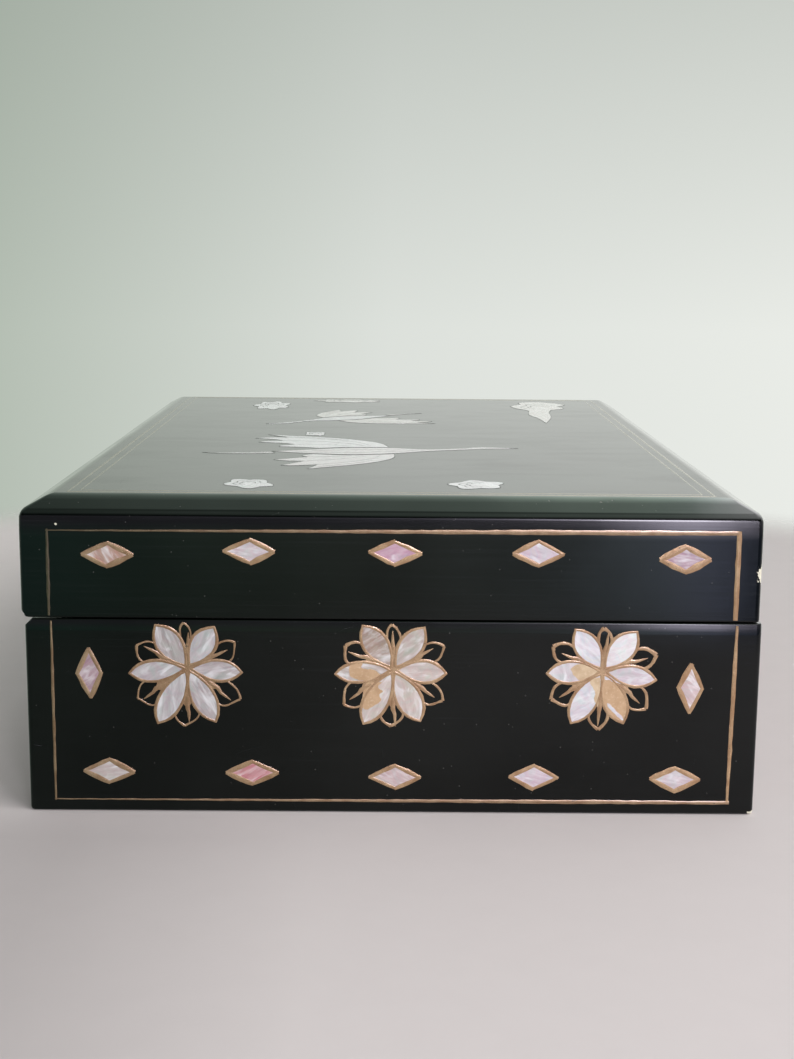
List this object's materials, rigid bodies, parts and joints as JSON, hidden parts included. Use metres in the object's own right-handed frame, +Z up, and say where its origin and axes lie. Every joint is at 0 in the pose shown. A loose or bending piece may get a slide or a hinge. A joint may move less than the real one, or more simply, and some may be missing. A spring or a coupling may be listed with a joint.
{
  "type": "lacquer box",
  "caption": "hinged wooden box under black lacquer, low hipped lid, shell diamonds, petalled rosettes and cranes let into its faces, velvet lining",
  "frame": {"origin": "the middle of the underside, on the surface that the box stands on", "axes": "+X is the front, where the lid opens, -X the hinge side, -Y the left end, which the picture shows, +Z up"},
  "size_m": [0.2015, 0.3004, 0.0882],
  "materials": {
    "lacquered_wood": "black lacquer, polished",
    "shell": "mother-of-pearl, polished",
    "brass": "plain brass",
    "gold_paint": "gold paint, brushed on by hand",
    "velvet": "short pile"
  },
  "bodies": {
    "base": {"base_back_board": "lacquered_wood", "base_floor": "lacquered_wood", "base_front_board": "lacquered_wood", "base_left_end": "lacquered_wood", "base_lining_back": "velvet", "base_lining_floor": "velvet", "base_lining_front": "velvet", "base_lining_left": "velvet", "base_lining_right": "velvet", "base_right_end": "lacquered_wood", "foot_diamond_1": "shell", "foot_diamond_2": "shell", "foot_diamond_3": "shell", "foot_diamond_4": "shell", "foot_diamond_5": "shell", "hinge_1_base_leaf": "brass", "hinge_1_base_screw_1": "brass", "hinge_1_base_screw_2": "brass", "hinge_1_pin": "brass", "hinge_2_base_leaf": "brass", "hinge_2_base_screw_1": "brass", "hinge_2_base_screw_2": "brass", "hinge_2_pin": "brass", "rosette_1": "shell", "rosette_2": "shell", "rosette_3": "shell", "upright_diamond_1": "shell", "upright_diamond_2": "shell"},
    "lid": {"cloud_far_left": "shell", "cloud_far_middle": "shell", "cloud_near_left": "shell", "cloud_near_right": "shell", "cloud_small": "shell", "cloud_streaming": "shell", "hinge_1_lid_leaf": "brass", "hinge_1_lid_screw_1": "brass", "hinge_1_lid_screw_2": "brass", "hinge_2_lid_leaf": "brass", "hinge_2_lid_screw_1": "brass", "hinge_2_lid_screw_2": "brass", "large_crane_body": "shell", "large_crane_far_wing": "shell", "large_crane_legs": "shell", "large_crane_near_wing": "shell", "lid_back_board": "lacquered_wood", "lid_diamond_1": "shell", "lid_diamond_2": "shell", "lid_diamond_3": "shell", "lid_diamond_4": "shell", "lid_diamond_5": "shell", "lid_front_board": "lacquered_wood", "lid_left_end": "lacquered_wood", "lid_lining": "velvet", "lid_panel": "lacquered_wood", "lid_right_end": "lacquered_wood", "small_crane_body": "shell", "small_crane_far_wing": "shell", "small_crane_legs": "shell", "small_crane_near_wing": "shell"}
  },
  "joints": [
    {"name": "lid_hinge", "type": "hinge", "parent": "base", "child": "lid", "pos_m": [-0.099, 0, 0.055], "axis": [0, -1, 0], "range_deg": [0, 100]}
  ]
}
